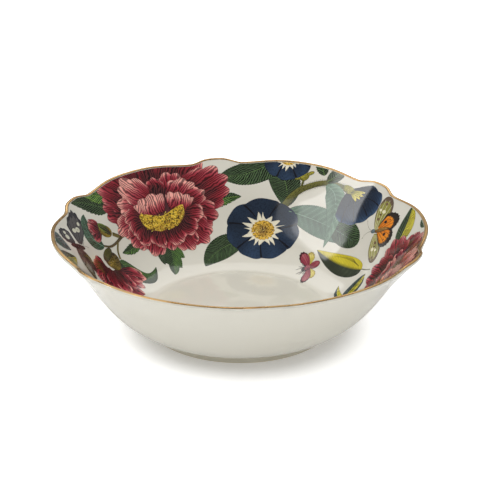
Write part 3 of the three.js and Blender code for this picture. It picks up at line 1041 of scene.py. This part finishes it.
def draw_blue_flower():
    d, at = drawing("blue_flower_leaf", "green", 96, 24, ["print_leaf_low"], seed=31)
    leaf(d, at(86, 31), at(101, 27), at(110.5, 10.5), 19, LEAF_DARK, pitch=1.5, fullness=0.9)
    d.finish()
    d, _ = drawing("blue_flower_transfer", "navy", 79.7, 38.5, ["print_blue_flower"], seed=32, layer=4)
    trumpet_face(d, 27.8, 23.2, aim=18)
    d.finish()


def draw_upper_spray():
    d, at = drawing("upper_spray_leaves", "green", 80, 78, ["print_leaf_high"], seed=33)
    leaf(d, at(71.5, 57), at(71, 80), at(84, 92), 19, LEAF_DARK, tone=-0.08)
    leaf(d, at(76, 93), at(85, 79), at(98, 76.5), 21, LEAF_DARK, tone=0.06)
    leaf(d, at(58, 80), at(55, 88), at(53, 96), 9, LEAF_DARK, tone=-0.1)
    leaf(d, at(60, 84), at(62, 90), at(64, 96), 8, LEAF_DARK, tone=-0.1)
    d.finish()
    d, at = drawing("upper_spray_stem", "yellow", 66, 72, seed=34, layer=2)
    olive = linear(86, 84, 34)
    main = [at(72.5, 56.5), at(68.5, 68), at(63, 75.5), at(57, 80), at(50, 81)]
    stem(d, main, 4.8, 3.4, olive, hairs=1.3)
    stem(d, [at(58.5, 79), at(55, 86), at(52, 94)], 2.8, 2.2, olive, hairs=1.2)
    stem(d, [at(69.5, 65), at(67.3, 72), at(67, 79)], 1.1, 1.2, olive, hairs=0.6)
    oval(d, at(67, 80.5), 7, 5.4, 70, BUD_STOPS, stipple=0.5)
    oval(d, at(65.2, 83.5), 5, 2.6, 40, BUD_STOPS, stipple=0.4)
    oval(d, at(69.2, 78.5), 4.2, 2.2, 12, BUD_STOPS, stipple=0.4)
    d.finish()
    d, _ = drawing("blue_flower_high_transfer", "navy", 73.8, 92, ["print_blue_flower_high"],
                   seed=35, layer=12)
    trumpet_face(d, 14.2, 16, aim=40)
    d.finish()


def draw_broad_leaves():
    d, at = drawing("broad_leaves_transfer", "green", 52, 50, ["print_broad_leaf"], seed=36)
    leaf(d, at(70.5, 54.5), at(52, 50), at(32.5, 46.5), 22, LEAF_GREY, tone=0.05, lines=0.8, pitch=1.1,
         fullness=0.85)
    leaf(d, at(50, 51), at(40, 50), at(31.8, 46.5), 20, LEAF_DARK, tone=0.08, fullness=0.95,
         blunt=0.5, rib=False)
    leaf(d, at(58, 77), at(49, 78), at(48.6, 34.5), 15, LEAF_GREY, tone=0.18, lines=0.8, pitch=1.1)
    d.finish()


def draw_side_flower():
    d, at = drawing("blue_flower_side_transfer", "navy", 42, 76, ["print_blue_flower_side"],
                    seed=37, layer=8)
    trumpet_side(d, at(47.5, 80), -42, 27, 36)
    d.finish()
    d, at = drawing("blue_flower_side_calyx", "yellow", 47, 79, seed=38, layer=20)
    stops = shades((0, 88, 88, 26), (0.5, 156, 148, 48), (1, 220, 204, 96))
    oval(d, at(48.5, 80.5), 9.5, 6.4, -12, stops, stipple=0.5, light=(0.4, 0.4))
    for aim in (-50, -32, -14, 4):
        petal(d, at(46.8, 80), aim, 9, 2.6, tone=0.85, stops=stops, ruffles=1, ruffle=0,
              roundness=0.9, lines=0.4)
    d.finish()


def draw_orange_butterfly():
    d, at = drawing("orange_butterfly_transfer", "insect", 24, 64, ["print_orange_butterfly"], seed=41)
    black = linear(34, 26, 20)
    rust = linear(150, 70, 20)
    olive = shades((0, 98, 96, 40), (0.6, 146, 142, 66), (1, 186, 180, 116))
    amber = shades((0, 196, 96, 14), (0.5, 232, 134, 18), (1, 246, 168, 40))
    pale = linear(226, 220, 186)
    brown = linear(112, 88, 70)
    bands = [(-0.2, 0.35, 1.2, brown), (0.15, 0.55, 1.5, pale), (-0.25, 0.62, 1.1, pale),
             (0.1, 0.8, 1.1, brown), (-0.1, 0.47, 0.8, linear(84, 60, 52))]
    fore = {"veins": 4, "spots": bands, "vein_colour": pale, "lobes": 0}
    wing(d, at(26, 62), 112, 27, 12.5, olive, linear(98, 80, 64), bend=-8, **fore)
    wing(d, at(25, 60), -62, 22, 12, olive, linear(112, 94, 72), bend=14, **fore)
    wing(d, at(25, 64), 62, 18, 14.5, amber, black, border_from=0.72, veins=5,
         spots=[(-0.25, 0.42, 1.25, black), (-0.1, 0.62, 0.6, rust)], roundness=0.45, lobes=9)
    wing(d, at(25, 63), -4, 18, 15, amber, black, border_from=0.74, veins=5,
         spots=[(-0.1, 0.48, 1.3, black), (0.3, 0.6, 0.6, rust)], roundness=0.45, lobes=9)
    oval(d, at(23.4, 64.6), 13.5, 3.2, 40, shades((0, 96, 66, 24), (1, 206, 150, 60)), stipple=0.4)
    oval(d, at(27.2, 60.4), 4.2, 3.2, 30, shades((0, 62, 82, 92), (1, 128, 150, 156)), stipple=0.3)
    feelers(d, at(27.8, 60), 195, 9.5, 42, linear(120, 112, 92))
    d.finish()


def draw_pink_moth(name, azimuth, climb, replaced, seed, turn=0):
    d, _ = drawing(name, "insect", azimuth, climb, [replaced], seed=seed)
    rose = shades((0, 84, 24, 40), (0.5, 150, 54, 70), (1, 204, 118, 118))
    cream = shades((0, 176, 158, 60), (0.5, 214, 198, 96), (1, 232, 222, 160))
    ink = linear(30, 24, 24)
    axis = 42 + turn

    def spot(along, across):
        return heading(axis) * along + inward(axis) * across

    wing(d, spot(-1, 2), axis + 74, 11, 7.5, cream, linear(170, 150, 66), veins=4)
    wing(d, spot(-1, -2), axis - 74, 12, 7.5, cream, linear(170, 150, 66), veins=4)
    wing(d, spot(-2, 1.5), axis + 98, 15, 8, rose, linear(66, 24, 34), veins=4, bend=6, neck=0.35)
    wing(d, spot(-2, -1.5), axis - 92, 17, 8, rose, linear(60, 20, 30), veins=4, bend=-6, neck=0.35)
    oval(d, spot(3.5, 0), 9.5, 6.8, axis, rose, lines=0.8, pitch=0.8)
    oval(d, spot(-2.8, 0), 6.5, 5.6, axis, rose, stipple=0.4)
    oval(d, spot(-6.4, 0), 3.2, 3.0, axis, [(0, ink), (1, linear(70, 58, 56))])
    for side in (-1, 1):
        for k in range(3):
            start = spot(-3.5 - k * 0.9, side * 1.6)
            end = start + heading(axis + 180 - side * (52 - 22 * k)) * (5.2 + k)
            knee = (start + end) / 2 + heading(axis + 180) * 0.9
            line_path(d, bent_path(start, knee, end, 9), 0.6, 0.35, ink, together=True)
    d.layer += 1
    d.finish()


def draw_yellow_leaf():
    d, at = drawing("yellow_leaf_transfer", "yellow", 32, 31, ["print_yellow_leaf"], seed=43)
    stem(d, [at(19.5, 34.8), at(16, 37), at(13.5, 39.5)], 0.9, 0.8, linear(96, 96, 78))
    leaf(d, at(19.2, 34.8), at(36, 24), at(51, 31.4), 17.5, LEAF_YELLOW, LEAF_BLACK, fullness=0.6,
         slant=0.3, lines=0.4, rib=False, skew=0.1, ribs=0.25, tone=0.15)
    for k, reach in enumerate((0.86, 0.72, 0.6)):
        start = at(21.5 + k * 2, 35)
        end = at(43 - 5 * k, 30.5 + 1.8 * k)
        middle = at(33 - k, 36 + k * 1.2)
        path = bent_path(start, middle, end, 16, first=0.05, last=reach)
        line_path(d, path, 0.45, 0.15, linear(70, 66, 22))
    d.finish()


def draw_right_leaves():
    d, at = drawing("rim_right_leaves", "green", 12, 78, seed=44)
    leaf(d, at(7.4, 66.5), at(10, 75), at(18, 91), 15, LEAF_YELLOW, LEAF_DARK, tone=0.06, ribs=0.5)
    leaf(d, at(2, 88), at(6, 92), at(9, 98), 10, LEAF_DARK)
    d.finish()
    d, at = drawing("yellow_pod_transfer", "yellow", 12, 20, ["print_yellow_pod"], seed=45)
    leaf(d, at(8, 12), at(14.5, 22), at(14, 35), 12, LEAF_YELLOW, LEAF_BLUE, slant=0.4, lines=0.5)
    leaf(d, at(8.5, 17), at(10, 26), at(13, 33), 6, LEAF_BLACK, LEAF_YELLOW, slant=0.4, lines=0.5)
    leaf(d, at(6.5, 13), at(15, 7), at(22.5, 15.5), 6, LEAF_YELLOW, LEAF_BLUE, slant=0.3, lines=0.4)
    d.finish()


def draw_right_peony():
    d, at = drawing("peony_right_transfer", "crimson", -18, 55, ["print_peony_right"], seed=51, layer=8)
    for base, tip, width, tone in (
        (at(-15, 58), at(1, 86), 38, 0.44), (at(-14, 56), at(6, 54), 30, 0.5),
    ):
        run = tip - base
        aim = math.degrees(math.atan2(run[1], run[0]))
        petal(d, base, aim, np.linalg.norm(run), width, tone=tone, ruffles=5, ruffle=0.07, roundness=0.6)
    peony(d, 0.94, mirror=-1, turn=44)
    d.finish()


def draw_near_side():
    """The wall nearest the front, which repeats the other motifs in its own order."""
    d, at = drawing("near_leaves_right", "green", 320, 45, ["print_leaf_near"], seed=61)
    leaf(d, at(326, 30), at(322, 46), at(315, 58), 15, LEAF_DARK, teeth=8)
    leaf(d, at(308, 26), at(316, 20), at(326, 12), 15, LEAF_DARK, tone=0.05)
    leaf(d, at(310, 60), at(318, 72), at(327, 80), 15, LEAF_BRIGHT, LEAF_DARK, teeth=8)
    leaf(d, at(284, 60), at(278, 72), at(268, 80), 17, LEAF_DARK, tone=0.05)
    leaf(d, at(286, 52), at(276, 50), at(266, 40), 15, LEAF_GREY)
    d.finish()
    d, at = drawing("near_stem", "yellow", 300, 64, seed=62, layer=4)
    stem(d, [at(296, 60), at(294, 72), at(286, 82), at(280, 92)], 2.6, 1.9, linear(126, 124, 66), hairs=1)
    stem(d, [at(294, 70), at(300, 78), at(306, 84)], 1.6, 1.2, linear(126, 124, 66), hairs=0.7)
    oval(d, at(307.5, 85.5), 9, 6, 130, BUD_STOPS, stipple=0.5)
    d.finish()
    d, _ = drawing("blue_flower_near_transfer", "navy", 297, 39, ["print_blue_flower_near"],
                   seed=63, layer=8)
    trumpet_face(d, 27.5, 22.5, aim=4)
    d.finish()
    d, at = drawing("peony_near_leaves", "green", 250, 60, seed=64)
    leaf(d, at(262, 76), at(268, 84), at(276, 93), 14, LEAF_DARK, teeth=8, tone=-0.1)
    leaf(d, at(228, 40), at(222, 34), at(215, 26), 13, LEAF_DARK, LEAF_BRIGHT, teeth=7)
    leaf(d, at(250, 36), at(254, 24), at(258, 12), 13, LEAF_DARK, tone=-0.1, fullness=0.65)
    d.finish()
    d, _ = drawing("peony_near_transfer", "crimson", 245, 54, ["print_peony_near"], seed=65, layer=8)
    peony(d, 0.97)
    d.finish()
    d, at = drawing("near_leaves_left", "green", 212, 50, ["print_leaf_spray_near"], seed=66, layer=2)
    leaf(d, at(218, 52), at(211, 62), at(206, 74), 14, LEAF_DARK, teeth=8)
    leaf(d, at(217, 50), at(207, 46), at(200, 40), 12, LEAF_GREY, tone=-0.1)
    leaf(d, at(216, 84), at(210, 82), at(205, 90), 11, LEAF_BRIGHT, LEAF_DARK, teeth=6)
    d.finish()
    draw_pink_moth("pink_moth_near_transfer", 273, 17, "print_moth_near", 67, turn=96)


def draw_transfers():
    draw_left_leaves()
    draw_left_bud()
    draw_left_peony()
    draw_drooping_bloom()
    draw_curled_leaf()
    draw_dark_butterfly()
    draw_rim_left()
    draw_blue_flower()
    draw_broad_leaves()
    draw_upper_spray()
    draw_side_flower()
    draw_orange_butterfly()
    draw_pink_moth("pink_moth_transfer", 49.5, 18, "print_pink_moth", 42)
    draw_yellow_leaf()
    draw_right_leaves()
    draw_right_peony()
    draw_near_side()


# ---- studio ----
RIM_PLANE = 69.3  # height of the rim's mean plane, which the camera is aimed from
CAMERA_ELEVATION = 23.47
CAMERA_DISTANCE = 1612
CAMERA_LENS = 180.6
CAMERA_DROP = 0.264  # degrees the camera looks below the middle of the rim
CAMERA_ROLL = 0.23


FLOOR_HALF = 6  # metres
GLOW_HEIGHT = 0.0002  # the glowing sheet lies this far over the floor
SHADOW_MIDDLE = (0.003, -0.006, 0)  # round it the sheet is dark, out to the next two radii
GLOW_STARTS = 0.062
GLOW_FULL = 0.091
LAMP_AIM = Vector((0, 0, 0.03))
LAMP_DISTANCE = 3.6


def add_camera():
    data = bpy.data.cameras.new("camera")
    data.lens = CAMERA_LENS
    data.sensor_width = 36
    data.clip_end = 50
    camera = bpy.data.objects.new("camera", data)
    bpy.context.scene.collection.objects.link(camera)
    elevation = math.radians(CAMERA_ELEVATION)
    back = Vector((0, -math.cos(elevation), math.sin(elevation)))
    place = Vector((0, 0, RIM_PLANE * MM)) + back * CAMERA_DISTANCE * MM
    tilt = math.radians(90 - CAMERA_ELEVATION - CAMERA_DROP)
    turn = Matrix.Rotation(tilt, 4, "X") @ Matrix.Rotation(math.radians(CAMERA_ROLL), 4, "Z")
    camera.matrix_world = Matrix.Translation(place) @ turn
    bpy.context.scene.camera = camera


def add_light(name, azimuth, elevation, size, power, shading=True, glints=True):
    data = bpy.data.lights.new(name, "AREA")
    data.shape = "RECTANGLE"
    data.size, data.size_y = size
    data.energy = power
    lamp = bpy.data.objects.new(name, data)
    bpy.context.scene.collection.objects.link(lamp)
    a, e = math.radians(azimuth), math.radians(elevation)
    out = Vector((math.cos(a) * math.cos(e), math.sin(a) * math.cos(e), math.sin(e)))
    lamp.location = LAMP_AIM + out * LAMP_DISTANCE
    lamp.rotation_mode = "QUATERNION"
    lamp.rotation_quaternion = out.to_track_quat("Z", "Y")
    lamp.visible_diffuse = shading
    lamp.visible_glossy = glints


def add_plane(name, height, material):
    mesh = bpy.data.meshes.new(name)
    corners = [(x * FLOOR_HALF, y * FLOOR_HALF, height) for x, y in ((-1, -1), (1, -1), (1, 1), (-1, 1))]
    mesh.from_pydata(corners, [], [(0, 1, 2, 3)])
    mesh.materials.append(material)
    plane = bpy.data.objects.new(name, mesh)
    bpy.context.scene.collection.objects.link(plane)
    return plane


def add_floor():
    add_plane("floor", 0, floor_material())
    sheet = add_plane("light_table", GLOW_HEIGHT, glow_material())
    sheet.visible_diffuse = False  # its glow whitens the floor without lighting the bowl
    sheet.visible_glossy = False
    sheet.visible_shadow = False


def add_world():
    world = bpy.data.worlds.new("studio")
    world.use_nodes = True
    background = world.node_tree.nodes["Background"]
    background.inputs["Color"].default_value = (1, 1, 1, 1)
    tree = world.node_tree
    path = tree.nodes.new("ShaderNodeLightPath")
    level = tree.nodes.new("ShaderNodeMapRange")
    level.inputs["To Min"].default_value = 0.42  # what lights the porcelain
    level.inputs["To Max"].default_value = 0.22  # what its glaze mirrors: a dimmer room
    tree.links.new(path.outputs["Is Glossy Ray"], level.inputs["Value"])
    seen = tree.nodes.new("ShaderNodeMapRange")
    seen.inputs["To Max"].default_value = 1.0  # the backdrop itself is white
    tree.links.new(path.outputs["Is Camera Ray"], seen.inputs["Value"])
    tree.links.new(level.outputs[0], seen.inputs["To Min"])
    tree.links.new(seen.outputs[0], background.inputs["Strength"])
    bpy.context.scene.world = world


def add_studio():
    add_camera()
    add_floor()
    add_world()
    add_light("key_softbox", 215, 78, (3.0, 3.0), 100, glints=False)
    add_light("window", 198, 40, (3.6, 1.6), 27, shading=False)
    add_light("window_middle", 190, 39, (2.6, 1.3), 36, shading=False)
    add_light("white_wall_behind", 92, 50, (3.9, 2.2), 42, shading=False)
    bpy.context.scene.view_settings.view_transform = "Standard"


bowl_body()
foot_ring()
gilded_line()
draw_transfers()
add_studio()
